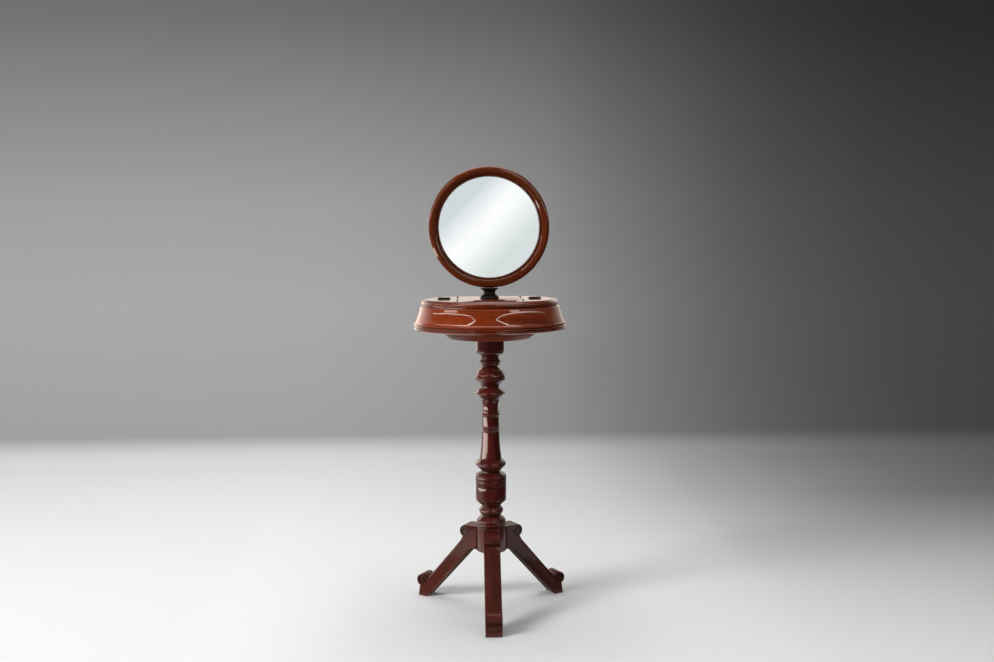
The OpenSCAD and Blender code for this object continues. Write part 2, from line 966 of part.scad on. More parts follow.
// Upper half of the neck, which turns with the mirror
bracket_base_t = 3;
ear_t = 4;
tongue_w = 12;
ear_r = 6.5;
back_depth = 11;
front_y = frame_t - back_depth;
pin_y = back_depth + pin_back;
pin_z = ring_z + 7.5;
ear_x = tongue_w / 2 + air;

module swivel_saddle() {
    color(ebony)
        difference() {
            turning(neck_top_r, flare_z, [
                [LINE, 1.5, neck_top_r],
                [EASE_OUT, flare_z - waist_z - 3, neck_waist_r],
                [LINE, 1.5, neck_waist_r]
            ]);
            translate([0, 0, waist_z - eps])
                cylinder(h = neck_h, r = spigot_r + run_fit);
            translate([0, 0, spigot_z - air])
                cylinder(h = neck_h, r = swivel_head_r + air);
            translate([-ear_x - ear_t, pin_y - ear_r, flare_z - bracket_base_t])
                cube([2 * (ear_x + ear_t), 4 * ear_r, neck_h]);
        }
}

module tilt_bracket() {
    color(brass)
        difference() {
            union() {
                intersection() {
                    translate([-ear_x - ear_t, pin_y - ear_r, flare_z - bracket_base_t])
                        cube([2 * (ear_x + ear_t), 2 * ear_r, bracket_base_t]);
                    translate([0, 0, flare_z - neck_h])
                        cylinder(h = 2 * neck_h, r = neck_top_r + 4);
                }
                for (side = [-1, 1])
                    translate([side * (ear_x + ear_t / 2), 0, 0])
                        rotate([90, 0, 90])
                            linear_extrude(ear_t, center = true) {
                                translate([pin_y, pin_z])
                                    circle(ear_r);
                                translate([pin_y - ear_r, flare_z - bracket_base_t])
                                    square([2 * ear_r, pin_z - flare_z + bracket_base_t]);
                            }
            }
            translate([-ear_x - 2 * ear_t, pin_y, pin_z])
                rotate([0, 90, 0])
                    cylinder(h = 2 * ear_x + 4 * ear_t, r = pin_r + run_fit);
        }
}

pin_head_t = 2.5;
nut_t = 6;
nut_r = 6.2;

module tilt_pin() {
    color(brass)
        translate([-ear_x - ear_t, pin_y, pin_z])
            rotate([0, 90, 0]) {
                cylinder(h = 2 * (ear_x + ear_t) + nut_t, r = pin_r);
                translate([0, 0, -pin_head_t])
                    cylinder(h = pin_head_t, r = 2 * pin_r);
            }
}

module tilt_nut() {
    color(brass)
        translate([ear_x + ear_t, pin_y, pin_z])
            rotate([0, 90, 0])
                difference() {
                    cylinder(h = nut_t, r = nut_r);
                    translate([0, 0, -eps])
                        cylinder(h = nut_t + 2 * eps, r = pin_r);
                    for (turn = [0:45:315])
                        rotate(turn)
                            translate([nut_r + 0.9, 0, 1])
                                cylinder(h = nut_t, r = 1.7);
                }
}

// The ring is turned about its own axis, which then points to the front.
// In its outline x is the radius and y the height in front of the glass's face.
glass_face = 4;
rebate_r = sight_r + rebate_w;
back_r = rebate_r + 9;
seat_y = glass_face - 1;
board_y = seat_y - glass_t + 1;

module face_front() {
    translate([0, 0, mirror_z])
        rotate([90, 0, 0])
            children();
}

// Half-round front with a quirk and a small bead beside the glass
module frame_outline() {
    bead_w = 4.2;
    ring_quirk = 1.2;
    bead_h = front_y - 7;
    lobe = frame_r - sight_r - bead_w - ring_quirk;
    polygon(concat(
        [[rebate_r, seat_y], [sight_r, seat_y], [sight_r, bead_h]],
        [for (a = [150:-30:0]) [sight_r + bead_w / 2 + bead_w / 2 * cos(a), bead_h + bead_w / 2 * sin(a)]],
        [[sight_r + bead_w, bead_h - ring_quirk], [sight_r + bead_w + ring_quirk, bead_h - ring_quirk]],
        [
            for (s = [0:12])
                let (a = 170 - 170 * s / 12)
                [
                    frame_r - lobe / 2 + lobe / 2 * cos(a),
                    bead_h - ring_quirk + (front_y - bead_h + ring_quirk) * sin(a)
                ]
        ],
        [[frame_r, -back_depth + 8]],
        [
            for (s = [1:5])
                let (a = 90 * s / 5)
                [frame_r - 4 * (1 - cos(a)), -back_depth + 8 - 8 * sin(a)]
        ],
        [[back_r, -back_depth], [back_r, board_y - 1], [rebate_r, board_y - 1]]
    ));
}

// Plate let into the back of the ring, with the tongue that the pin goes through
strap_w = 64;
strap_t = 3;
strap_z = ring_z + 4;
strap_h = 10;
strap_face = back_depth + 0.4;
STRAP_SCREW_X = [-26, -16, 16, 26];

module strap_plate(gap) {
    translate([-strap_w / 2 - gap, strap_face - strap_t - gap / 2, strap_z - gap])
        cube([strap_w + 2 * gap, strap_t + gap, strap_h + 2 * gap]);
}

module mirror_frame() {
    color(mahogany)
        difference() {
            face_front()
                rotate_extrude()
                    frame_outline();
            strap_plate(seat_fit);
            for (x = STRAP_SCREW_X)
                translate([x, back_depth, strap_z + strap_h / 2])
                    rotate([90, 0, 0])
                        cylinder(h = strap_t + 9, r = screw_r);
            face_front()
                back_spots()
                    translate([0, 0, board_y - 1 - eps])
                        cylinder(h = back_screw_l, r = screw_r);
        }
}

module mirror_glass() {
    color(silver)
        face_front()
            rotate_extrude()
                polygon([
                    [0, seat_y - glass_t + 1], [rebate_r - 0.3, seat_y - glass_t + 1],
                    [rebate_r - 0.3, seat_y], [sight_r - 0.1, seat_y],
                    [sight_r - 0.1 - bevel_w, glass_face], [0, glass_face]
                ]);
}

back_screw_l = 7;

module back_spots() {
    for (turn = [22.5:45:337.5])
        rotate(turn)
            translate([(rebate_r + back_r) / 2, 0, 0])
                children();
}

module back_board() {
    color(mahogany_dark)
        face_front()
            difference() {
                rotate_extrude()
                    polygon([
                        [0, board_y], [rebate_r - 0.3, board_y], [rebate_r - 0.3, board_y - 1],
                        [back_r - 0.3, board_y - 1], [back_r - 0.3, board_y - back_t + 2],
                        [back_r - 2.3, board_y - back_t], [0, board_y - back_t]
                    ]);
                back_spots()
                    translate([0, 0, board_y - back_t - eps])
                        cylinder(h = back_t + 2 * eps, r = screw_r + seat_fit);
            }
}

module back_screws() {
    color(brass)
        face_front()
            back_spots()
                translate([0, 0, board_y - back_t])
                    screw(back_t - 1 + back_screw_l - seat_fit, head_h = 1.2);
}

module frame_strap() {
    color(brass)
        difference() {
            union() {
                strap_plate(0);
                rotate([90, 0, 90])
                    linear_extrude(tongue_w, center = true) {
                        translate([pin_y, pin_z])
                            circle(ear_r - 0.5);
                        translate([back_depth - eps, pin_z - ear_r + 0.5])
                            square([pin_back + eps, 2 * ear_r - 1]);
                    }
            }
            translate([-tongue_w, pin_y, pin_z])
                rotate([0, 90, 0])
                    cylinder(h = 2 * tongue_w, r = pin_r + run_fit);
            for (x = STRAP_SCREW_X)
                translate([x, strap_face + 1, strap_z + strap_h / 2])
                    rotate([90, 0, 0])
                        cylinder(h = strap_t + 2, r = screw_r + seat_fit);
        }
}

module strap_screws() {
    color(brass)
        for (x = STRAP_SCREW_X)
            translate([x, strap_face, strap_z + strap_h / 2])
                rotate([90, 0, 0])
                    screw(strap_t + 8, head_h = 0.9, head_r = 3);
}

module mirrored() {
    mirror([1, 0, 0])
        children();
}

leg(LEG_TURNS[0][1]);  // leg_front
leg(LEG_TURNS[1][1]);  // leg_right
leg(LEG_TURNS[2][1]);  // leg_left
leg_brace();
brace_screws();
pillar_foot();
pillar_shaft();
pillar_capital();
drum_boss();
boss_screws();
drum_floor();
floor_screws();
base_moulding();
frieze_ring();
centre_block();
partition(-1);  // partition_left
partition(1);  // partition_right
top_board();
mirrored() fixed_leaves();  // hinge_leaves_left
fixed_leaves();  // hinge_leaves_right
neck_socket();
post_bush();
mirror_post();
post_collar();
swivel_screw();
clamp_screw();
swivel_saddle();
tilt_bracket();
tilt_pin();
tilt_nut();
mirror_frame();
mirror_glass();
back_board();
back_screws();
frame_strap();
strap_screws();
mirrored() lid();  // lid_left
mirrored() pull();  // pull_left
mirrored() moving_leaves();  // lid_leaves_left
mirrored() hinge_pins();  // hinge_pins_left
lid();  // lid_right
pull();  // pull_right
moving_leaves();  // lid_leaves_right
hinge_pins();  // hinge_pins_right
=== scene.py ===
"""Pedestal vanity mirror in French-polished mahogany.

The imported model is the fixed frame. Turned and moulded wood is worked out again as fine
surfaces of revolution, and the joinery, brass and iron are the frame's own solids with their
arrises eased. Lengths are metres, and a profile's radii and heights are given in millimetres.
"""
import math

import bmesh
import bpy
import numpy as np
from mathutils import Matrix, Vector


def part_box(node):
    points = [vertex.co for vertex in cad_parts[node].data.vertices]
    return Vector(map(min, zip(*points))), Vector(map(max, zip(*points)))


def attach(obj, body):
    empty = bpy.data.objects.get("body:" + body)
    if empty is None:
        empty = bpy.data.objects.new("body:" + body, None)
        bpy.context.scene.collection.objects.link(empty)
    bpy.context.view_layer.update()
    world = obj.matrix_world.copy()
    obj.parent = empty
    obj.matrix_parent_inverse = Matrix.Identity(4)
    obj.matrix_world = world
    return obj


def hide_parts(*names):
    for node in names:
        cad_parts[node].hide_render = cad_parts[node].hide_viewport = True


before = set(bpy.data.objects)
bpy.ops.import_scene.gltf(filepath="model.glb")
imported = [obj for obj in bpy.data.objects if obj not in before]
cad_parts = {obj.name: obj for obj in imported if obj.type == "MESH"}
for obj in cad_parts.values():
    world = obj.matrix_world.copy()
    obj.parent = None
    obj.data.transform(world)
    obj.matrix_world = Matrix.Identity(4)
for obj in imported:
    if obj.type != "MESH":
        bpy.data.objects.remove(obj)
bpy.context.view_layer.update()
MM = 0.001


def low(node):
    """Lowest corner of a node's box."""
    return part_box(node)[0]


def high(node):
    """Highest corner of a node's box."""
    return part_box(node)[1]


def put(name, data):
    """Makes an object of a mesh, a lamp or a camera, and puts it into the scene."""
    piece = bpy.data.objects.new(name, data)
    bpy.context.scene.collection.objects.link(piece)
    return piece


# Camera: a normal lens at chest height, a little to the left of the mirror's front
IMAGE_W = 994
FOCAL_PX = 1000.0
SENSOR_MM = 36.0
CAMERA_PLACE = (-0.069, -2.996, 1.123)
CAMERA_TURN = math.radians(-1.735)
CAMERA_DIP = math.radians(5.2)
CAMERA_ROLL = math.radians(-0.40)
CLIP_NEAR, CLIP_FAR = 0.05, 200


def make_camera():
    """Looks along +Y, then dips, turns about Z and rolls about its own axis."""
    data = bpy.data.cameras.new("camera")
    data.sensor_width = SENSOR_MM
    data.lens = SENSOR_MM * FOCAL_PX / IMAGE_W
    data.clip_start = CLIP_NEAR
    data.clip_end = CLIP_FAR
    level = Matrix.Rotation(math.radians(90), 4, "X")
    turn = Matrix.Rotation(CAMERA_TURN, 4, "Z")
    dip = Matrix.Rotation(-CAMERA_DIP, 4, "X")
    roll = Matrix.Rotation(CAMERA_ROLL, 4, "Z")
    camera = put("camera", data)
    camera.matrix_world = Matrix.Translation(CAMERA_PLACE) @ turn @ level @ dip @ roll
    bpy.context.scene.camera = camera


make_camera()


# Surfaces

# Points of a mesh nearer than this are one point, and a shorter step of an outline is none
MERGE = 2e-6
NO_LENGTH = 1e-9
# Arrises steeper than this stay sharp on turned work and on the joiner's solids
TURNED_SHARP_DEG = 32
JOINED_SHARP_DEG = 30
# Faces of a solid that lie within this of one plane are one face
FLAT_DEG = 0.6
# How much the turner rounds an arris, the bend from which a corner counts as one, and the
# part of a short side that the rounding may take
ARRIS = 0.6 * MM
CORNER_DEG = 14
CORNER_SHARE = 0.45
CORNER_POINTS = 4
# The reach over which a hollow is judged and the depth that fills it with wax and painted shade:
# coves, grooves
WAX_AND_SHADE_REACHES = ((7 * MM, 2.5 * MM), (2.2 * MM, 0.55 * MM))
# Sides of a full turn
PILLAR_SIDES = 168
DRUM_SIDES = 288
RING_SIDES = 360


def mesh_of(name, verts, faces):
    """A mesh from points and faces."""
    mesh = bpy.data.meshes.new(name)
    mesh.from_pydata(np.asarray(verts, float).tolist(), [], faces)
    return mesh


def mark(mesh, layer, values, kind="POINT"):
    """Keeps a number for each point or edge of a mesh."""
    attribute = mesh.attributes.new(layer, "FLOAT", kind)
    attribute.data.foreach_set("value", np.asarray(values, np.float32))


def lay_metres(mesh, uv):
    """Gives each point of a mesh its place on the surface in metres."""
    corner = np.empty(len(mesh.loops), np.int32)
    mesh.loops.foreach_get("vertex_index", corner)
    layer = mesh.uv_layers.new(name="metres")
    layer.data.foreach_set("uv", uv[corner].astype(np.float32).ravel())


def clean(mesh, sharp_deg, flat_deg=None):
    """Merges doubles, joins flat faces if asked, turns faces outwards and marks sharp arrises."""
    work = bmesh.new()
    work.from_mesh(mesh)
    bmesh.ops.remove_doubles(work, verts=work.verts, dist=MERGE)
    if flat_deg:
        bmesh.ops.dissolve_limit(work, angle_limit=math.radians(flat_deg), verts=work.verts,
                                 edges=work.edges)
    bmesh.ops.recalc_face_normals(work, faces=work.faces)
    work.to_mesh(mesh)
    work.free()
    mesh.shade_smooth()
    mesh.set_sharp_from_angle(angle=math.radians(sharp_deg))


def lengths_along(outline):
    """Length of an outline up to each of its points."""
    return np.concatenate([[0], np.cumsum(np.hypot(*np.diff(outline, axis=0).T))])


def soften(points):
    """Rounds each corner of an outline by a curve from a point before it to one after it.

    The curve is (1-t)^2 a + 2 t (1-t) corner + t^2 b, with a and b at most ARRIS away.
    """
    soft = [points[0]]
    for before, corner, after in zip(points[:-2], points[1:-1], points[2:]):
        back, on = before - corner, after - corner
        len_back, len_on = np.hypot(*back), np.hypot(*on)
        if min(len_back, len_on) < NO_LENGTH:
            continue
        bend = np.degrees(np.arccos(np.clip(-(back @ on) / (len_back * len_on), -1, 1)))
        if bend < CORNER_DEG:
            soft.append(corner)
            continue
        a = corner + back * min(ARRIS / len_back, CORNER_SHARE)
        b = corner + on * min(ARRIS / len_on, CORNER_SHARE)
        for t in np.linspace(0, 1, CORNER_POINTS):
            soft.append((1 - t) ** 2 * a + 2 * t * (1 - t) * corner + t ** 2 * b)
    soft.append(points[-1])
    return np.array(soft)


def depth_in_moulding(outline):
    """How far each point lies inside the outline's running mean, from 0 to 1.

    The mean is taken over a wide and a narrow reach, so that coves and fine grooves both count.
    """
    along = lengths_along(outline)
    apart = np.abs(along[:, None] - along[None, :])
    depth = np.zeros(len(outline))
    for reach, full in WAX_AND_SHADE_REACHES:
        weight = np.exp(-(apart / reach) ** 2) * (np.gradient(along)[None, :] + 1e-9)
        mean = (weight @ outline[:, 0]) / weight.sum(1)
        depth = np.maximum(depth, np.clip((mean - outline[:, 0]) / full, 0, 1))
    return depth


def lathe(name, outline, sides=PILLAR_SIDES, centre=(0, 0, 0), facing="up", closed=False):
    """Surface of revolution of an outline of (radius, height) points.

    The point (r, h) at angle a lies at (r cos a, r sin a, h) when it faces up. Facing the
    front, the height runs towards -Y and the circle stands in the XZ plane. The seam of the
    grain lies at the back, or at the bottom of a piece that faces the front.
    """
    if closed:
        outline = np.vstack([outline, outline[:1]])
    seam = np.pi / 2 if facing == "up" else -np.pi / 2
    a = np.linspace(seam, seam + 2 * np.pi, sides + 1)
    r, h = outline[:, 0][:, None], outline[:, 1][:, None]
    flat = np.ones_like(a)[None, :]
    if facing == "up":
        grid = np.stack([r * np.cos(a), r * np.sin(a), h * flat], -1)
    else:
        grid = np.stack([r * np.cos(a), -h * flat, r * np.sin(a)], -1)
    rows, columns = grid.shape[:2]
    index = np.arange(rows * columns).reshape(rows, columns)
    faces = np.stack([index[:-1, :-1], index[1:, :-1], index[1:, 1:], index[:-1, 1:]], -1)
    mesh = mesh_of(name, grid.reshape(-1, 3) + np.array(centre), faces.reshape(-1, 4).tolist())
    round_about = a[None, :] * np.abs(outline[:, 0]).max()
    uv = np.stack(np.broadcast_arrays(round_about, lengths_along(outline)[:, None]), -1)
    lay_metres(mesh, uv.reshape(-1, 2))
    # How deep each point lies in the moulding's hollows, which the wood darkens with wax and
    # painted shade
    mark(mesh, "hollow", np.repeat(depth_in_moulding(outline), columns))
    clean(mesh, TURNED_SHARP_DEG)
    return put(name, mesh)


# Turned mouldings: each rule says how the radius moves over one cut
def line(t):
    """t"""
    return t


def ease_in(t):
    """1 - cos(pi t / 2)"""
    return 1 - np.cos(np.pi / 2 * t)


def ease_out(t):
    """sin(pi t / 2)"""
    return np.sin(np.pi / 2 * t)


CUT_STEPS = 16
GROOVE_HALF, GROOVE_DEEP = 0.8, 0.9
CHANNEL_SIDE, CHANNEL_FLOOR, CHANNEL_DEEP = 1, 2, 2.4


def turned(r0, z_top, cuts):
    """Outline of cuts made downwards, each (rule, height, end radius, swell), in millimetres.

    Over a cut the radius is r0 + (r1 - r0) rule(t) + swell sin(pi t). The arrises between the
    cuts are softened.
    """
    points = [(r0, 0.0)]
    z = 0.0
    for rule, height, r1, *swell in cuts:
        plain = rule is line and not swell
        t = np.linspace(0, 1, 2 if plain else CUT_STEPS + 1)[1:]
        r = r0 + (r1 - r0) * rule(t) + (swell[0] if swell else 0) * np.sin(np.pi * t)
        points += list(zip(r, z - height * t))
        r0, z = r1, z - height
    outline = np.array(points) * MM
    outline[:, 1] += z_top
    return soften(outline)


def groove(r):
    """A fine turned groove of two equal slopes."""
    return [(line, GROOVE_HALF, r - GROOVE_DEEP), (line, GROOVE_HALF, r)]


def channel(r):
    """A wide channel with a flat floor and sloping sides."""
    return [(line, CHANNEL_SIDE, r - CHANNEL_DEEP), (line, CHANNEL_FLOOR, r - CHANNEL_DEEP),
            (line, CHANNEL_SIDE, r)]


# Materials

def linear(code):
    """A colour written as sRGB hex, turned to linear light."""
    srgb = np.array([int(code[i:i + 2], 16) for i in (1, 3, 5)]) / 255
    light = np.where(srgb <= 0.04045, srgb / 12.92, ((srgb + 0.055) / 1.055) ** 2.4)
    return (*light, 1.0)


def add(tree, kind, inputs=None, **settings):
    """Adds a node. Each input, by its name or number, is a socket to link or a plain value."""
    new = tree.nodes.new(kind)
    for key, value in settings.items():
        setattr(new, key, value)
    for key, value in (inputs or {}).items():
        if isinstance(value, bpy.types.NodeSocket):
            tree.links.new(value, new.inputs[key])
        else:
            new.inputs[key].default_value = value
    return new


def blank(name):
    """An empty material and its node tree."""
    material = bpy.data.materials.new(name)
    material.use_nodes = True
    material.node_tree.nodes.clear()
    return material, material.node_tree


def solid_place(tree):
    """Place in metres inside the model."""
    return add(tree, "ShaderNodeTexCoord").outputs["Object"]


def parts(tree, place):
    """The X, Y and Z of a place."""
    return add(tree, "ShaderNodeSeparateXYZ", {0: place}).outputs


def kept(tree, layer):
    """The number that a mesh keeps under this name."""
    return add(tree, "ShaderNodeAttribute", attribute_name=layer).outputs["Fac"]


def reckon(tree, operation, *terms, clamp=False):
    """A sum on sockets and numbers."""
    return add(tree, "ShaderNodeMath", dict(enumerate(terms)), operation=operation,
               use_clamp=clamp).outputs[0]


def spread(tree, value, ends=(0.0, 1.0), to=(0.0, 1.0)):
    """Turns a value between two ends into one between two others, and holds it there."""
    return add(tree, "ShaderNodeMapRange",
               {0: value, 1: ends[0], 2: ends[1], 3: to[0], 4: to[1]}).outputs[0]


def between(tree, factor, first, second):
    """A number that goes from the first to the second with the factor."""
    return add(tree, "ShaderNodeMix", {0: factor, 2: first, 3: second},
               data_type="FLOAT").outputs[0]


def tinted(tree, factor, first, second, how="MIX"):
    """A colour that goes from the first to the second, or to its product, with the factor."""
    return add(tree, "ShaderNodeMix", {0: factor, 6: first, 7: second}, data_type="RGBA",
               blend_type=how).outputs[2]


def ramp(tree, factor, stops):
    """Runs through stops of a place and a hex colour or a grey value."""
    new = add(tree, "ShaderNodeValToRGB", {"Fac": factor})
    elements = new.color_ramp.elements
    while len(elements) < len(stops):
        elements.new(0.5)
    for element, (place, tone) in zip(elements, stops):
        element.position = place
        element.color = linear(tone) if isinstance(tone, str) else (tone, tone, tone, 1)
    return new.outputs["Color"]


def noise(tree, place, size_mm, detail, roughness=0.5, distortion=0.0):
    """Clouds from 0 to 1, about size_mm across."""
    return add(tree, "ShaderNodeTexNoise", {
        "Vector": place, "Scale": 1000 / size_mm, "Detail": detail, "Roughness": roughness,
        "Distortion": distortion}).outputs[0]


def bump(tree, height, strength, depth):
    """A surface roughened by a height."""
    return add(tree, "ShaderNodeBump", {
        "Height": height, "Strength": strength, "Distance": depth}).outputs[0]


def polish(tree, **inputs):
    """Ends a material in one shader, whose inputs are named with _ for a space."""
    shader = add(tree, "ShaderNodeBsdfPrincipled",
                 {key.replace("_", " "): value for key, value in inputs.items()})
    add(tree, "ShaderNodeOutputMaterial", {"Surface": shader.outputs[0]})


# Half the width of a leg, and the (distance out, height) of the eyes of its scrolls
LEG_HALF = 24.5
EYES = ((78.5, 230.5), (238.5, 50.5))
# Painted shade round an eye, so that its carved hollow looks deeper: how far it is worked out, and
# its amount at parts of that distance
EYE_SHADE_REACH = 18 * MM
EYE_SHADE_RING = [(0.22, 0.0), (0.36, 0.9), (0.62, 0.55), (0.84, 0.0)]
# Wax and painted shade in the deepest hollow, as a part of full cover
WAX_AND_SHADE_COVER = 0.75
# How much longer than wide the wood's figure is, and how much its growth lines show in it
FIBRE_STRETCH = 11
GROWTH_SHARE = 0.32
# Growth lines, and pores: 0.3 mm wide in the wood, and drawn 1.1 mm wide so that they show
GROWTH_MM, PORE_MM = 5.0, 1.1
# Handling marks in the polish, and its own waves
SMEAR_MM, WAVE_MM = 40.0, 30.0
WOOD_IOR, SHELLAC_IOR = 1.5, 1.52
WOOD_SHEEN = 0.15


def shade_round_eyes(tree, hollow, eyes):
    """Adds painted shade round each eye: most 6.5 mm from its centre, none within 4 mm or beyond
    15 mm.

    The distance out is sqrt(x^2 + y^2 - w^2), where w is half the width of a leg.
    """
    part = parts(tree, solid_place(tree))
    flat = add(tree, "ShaderNodeCombineXYZ", {"X": part["X"], "Y": part["Y"]}).outputs[0]
    square = add(tree, "ShaderNodeVectorMath", {0: flat, 1: flat},
                 operation="DOT_PRODUCT").outputs["Value"]
    out = reckon(tree, "SQRT", reckon(tree, "SUBTRACT", square, (LEG_HALF * MM) ** 2))
    spot = add(tree, "ShaderNodeCombineXYZ", {"X": out, "Y": part["Z"]}).outputs[0]
    for eye_out, eye_z in eyes:
        away = add(tree, "ShaderNodeVectorMath", {0: spot, 1: (eye_out * MM, eye_z * MM, 0)},
                   operation="DISTANCE").outputs["Value"]
        # Painted shade in a ring round this eye
        wax_and_shade = ramp(tree, spread(tree, away, (0, EYE_SHADE_REACH)), EYE_SHADE_RING)
        hollow = reckon(tree, "MAXIMUM", hollow, wax_and_shade)
    return hollow


def wood(name, light, mid, dark, grain, gloss=0.3, coat=1.0, coat_rough=0.03, wax_and_shade="#120503",
         pores=0.35, figure_mm=34, eyes=()):
    """Mahogany, sawn with a ribbon figure and French polished.

    grain is x, y or z for a solid whose fibres run that way, or uv for a veneer or a built-up ring
    whose fibres follow the moulding. It has broad lighter and darker ribbons, short dark pores,
    hollows darkened by wax and by painted shade, and a hard, slightly uneven polish. eyes are the
    (distance out, height) of carved scroll eyes, in millimetres, round which painted shade is
    laid.
    """
    material, tree = blank(name)
    if grain == "uv":
        place = add(tree, "ShaderNodeUVMap", uv_map="metres").outputs["UV"]
        run = (1 / FIBRE_STRETCH, 1, 1)
    else:
        place = solid_place(tree)
        run = tuple(1 / FIBRE_STRETCH if axis == grain else 1 for axis in "xyz")
    along = add(tree, "ShaderNodeMapping", {"Vector": place, "Scale": run}).outputs[0]
    ribbon = noise(tree, along, figure_mm, 3, 0.55, 1.2)
    growth = noise(tree, along, GROWTH_MM, 4, 0.6, 0.4)
    pore = ramp(tree, noise(tree, along, PORE_MM, 1), [(0.0, 1.0), (0.34, 0.75), (0.44, 0.0)])
    body = ramp(tree, between(tree, GROWTH_SHARE, ribbon, growth),
                [(0.30, dark), (0.50, mid), (0.70, light)])
    pored = tinted(tree, reckon(tree, "MULTIPLY", pore, pores), body, linear(dark), "MULTIPLY")
    # Hollows are darkened by wax and by painted shade, and the legs also by painted shade round
    # their eyes
    hollow = shade_round_eyes(tree, kept(tree, "hollow"), eyes) if eyes else kept(tree, "hollow")
    waxed_and_shaded = tinted(tree, reckon(tree, "MULTIPLY", hollow, WAX_AND_SHADE_COVER), pored, linear(wax_and_shade))
    smear = noise(tree, place, SMEAR_MM, 3)
    lift = reckon(tree, "MULTIPLY_ADD", pore, -0.35, 0.5)
    relief = reckon(tree, "ADD", lift, growth)
    polish(tree, Base_Color=waxed_and_shaded, IOR=WOOD_IOR, Specular_IOR_Level=WOOD_SHEEN,
           Roughness=spread(tree, smear, to=(gloss * 0.8, gloss * 1.35)),
           Normal=bump(tree, relief, 0.06, 0.3 * MM),
           Coat_Weight=coat, Coat_Roughness=coat_rough, Coat_IOR=SHELLAC_IOR,
           Coat_Normal=bump(tree, noise(tree, place, WAVE_MM, 1), 0.05, 0.8 * MM))
    return material


# Patches of tarnish, scratches of the file, and clouds in old silvering
TARNISH_MM, SCRATCH_MM, CLOUD_MM = 9.0, 0.8, 60.0


def metal(name, colour, tarnish, rough):
    """Cast and filed metal, tarnished in patches and rubbed bright between them."""
    material, tree = blank(name)
    place = solid_place(tree)
    patch = noise(tree, place, TARNISH_MM, 5, 0.6)
    polish(tree, Metallic=1.0, Base_Color=ramp(tree, patch, [(0.36, tarnish), (0.62, colour)]),
           Roughness=spread(tree, patch, to=(rough * 1.4, rough * 0.8)),
           Normal=bump(tree, noise(tree, place, SCRATCH_MM, 2), 0.15, 0.1 * MM))
    return material


def silvered_glass(name):
    """Plate glass silvered behind, cool in tone, a little clouded in patches."""
    material, tree = blank(name)
    cloud = noise(tree, solid_place(tree), CLOUD_MM, 4)
    polish(tree, Metallic=1.0, Roughness=0.0,
           Base_Color=ramp(tree, cloud, [(0.3, "#F4F6F6"), (0.7, "#F8F9F9")]))
    return material


MATERIALS = {
    "frieze": wood("mahogany_frieze_veneer", "#A04012", "#84300B", "#621F06", "uv"),
    "moulding": wood("mahogany_moulding", "#8A3A1A", "#702B11", "#501A08", "uv"),
    # The underside's mahogany is lighter than the rest, partly its own tone and partly painted
    # light thrown up from the floor
    "boss": wood("mahogany_underside", "#A2492A", "#86371D", "#5A2412", "uv", gloss=0.45,
                 coat=0.25, coat_rough=0.2),
    "board": wood("mahogany_board", "#86391C", "#6B2812", "#4E1A0D", "y"),
    "pillar": wood("mahogany_turned", "#62231A", "#521A13", "#3F110D", "z"),
    "legs": wood("mahogany_sawn", "#622B20", "#512118", "#3C150F", "uv", gloss=0.4, coat=0.6,
                 coat_rough=0.1, eyes=EYES),
    "ring": wood("mahogany_ring", "#803812", "#66290C", "#4A1A07", "uv"),
    "back": wood("mahogany_back_board", "#6B2E1A", "#552010", "#3E1509", "z", gloss=0.4,
                 coat=0.3, coat_rough=0.15),
    "deal": wood("planed_deal", "#BC9468", "#A57E54", "#8A6642", "y", gloss=0.6, coat=0.0,
                 wax_and_shade="#3A2814", pores=0.2, figure_mm=18),
    "ebonised": wood("ebonised_wood", "#2A1D19", "#1B1310", "#0F0908", "z", coat=0.3,
                     coat_rough=0.12, pores=0.2),
    "brass": metal("aged_brass", "#8E6E40", "#5E4626", 0.3),
    "iron": metal("blackened_iron", "#4A4542", "#2A2624", 0.5),
    "glass": silvered_glass("silvered_plate_glass"),
}


def dress(piece, body, slot_name, finish, *nodes):
    """Gives a new piece its finish, its body and the nodes that it stands for; slot_name is not
    used.
    """
    piece.data.materials.clear()
    piece.data.materials.append(MATERIALS[finish])
    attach(piece, body)
    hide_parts(*nodes)


def paint(finish, *nodes):
    """Gives a finish to nodes whose own solids are shown."""
    for node in nodes:
        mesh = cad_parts[node].data
        mesh.materials.clear()
        mesh.materials.append(MATERIALS[finish])


def copy_of(node, name):
    """A node's own solid as a new piece, with its doubles merged and its flat faces joined."""
    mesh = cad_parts[node].data.copy()
    mesh.name = name
    mesh.materials.clear()
    clean(mesh, JOINED_SHARP_DEG, FLAT_DEG)
    return put(name, mesh)


def bevel(piece, width, segments, limit):
    """Eases the arrises of a piece that the limit picks: by their angle or by their weight."""
    arris = piece.modifiers.new("arris", "BEVEL")
    arris.width = width
    arris.segments = segments
    arris.limit_method = limit
    arris.angle_limit = math.radians(JOINED_SHARP_DEG)
    arris.use_clamp_overlap = limit == "ANGLE"


def eased(node, name, width_mm):
    """A copy of a node's solid with its arrises eased."""
    piece = copy_of(node, name)
    bevel(piece, width_mm * MM, 2, "ANGLE")
    return piece


# Pillar: the same cuts as the solids, with finer steps and softened arrises. Millimetres.
HUB_R, BARREL_R, SHAFT_R, RING_R, WAIST_R, COLLAR_R = 45, 47, 25.8, 45.5, 28.5, 42.5
FILLET, QUIRK = 2.5, 0.8

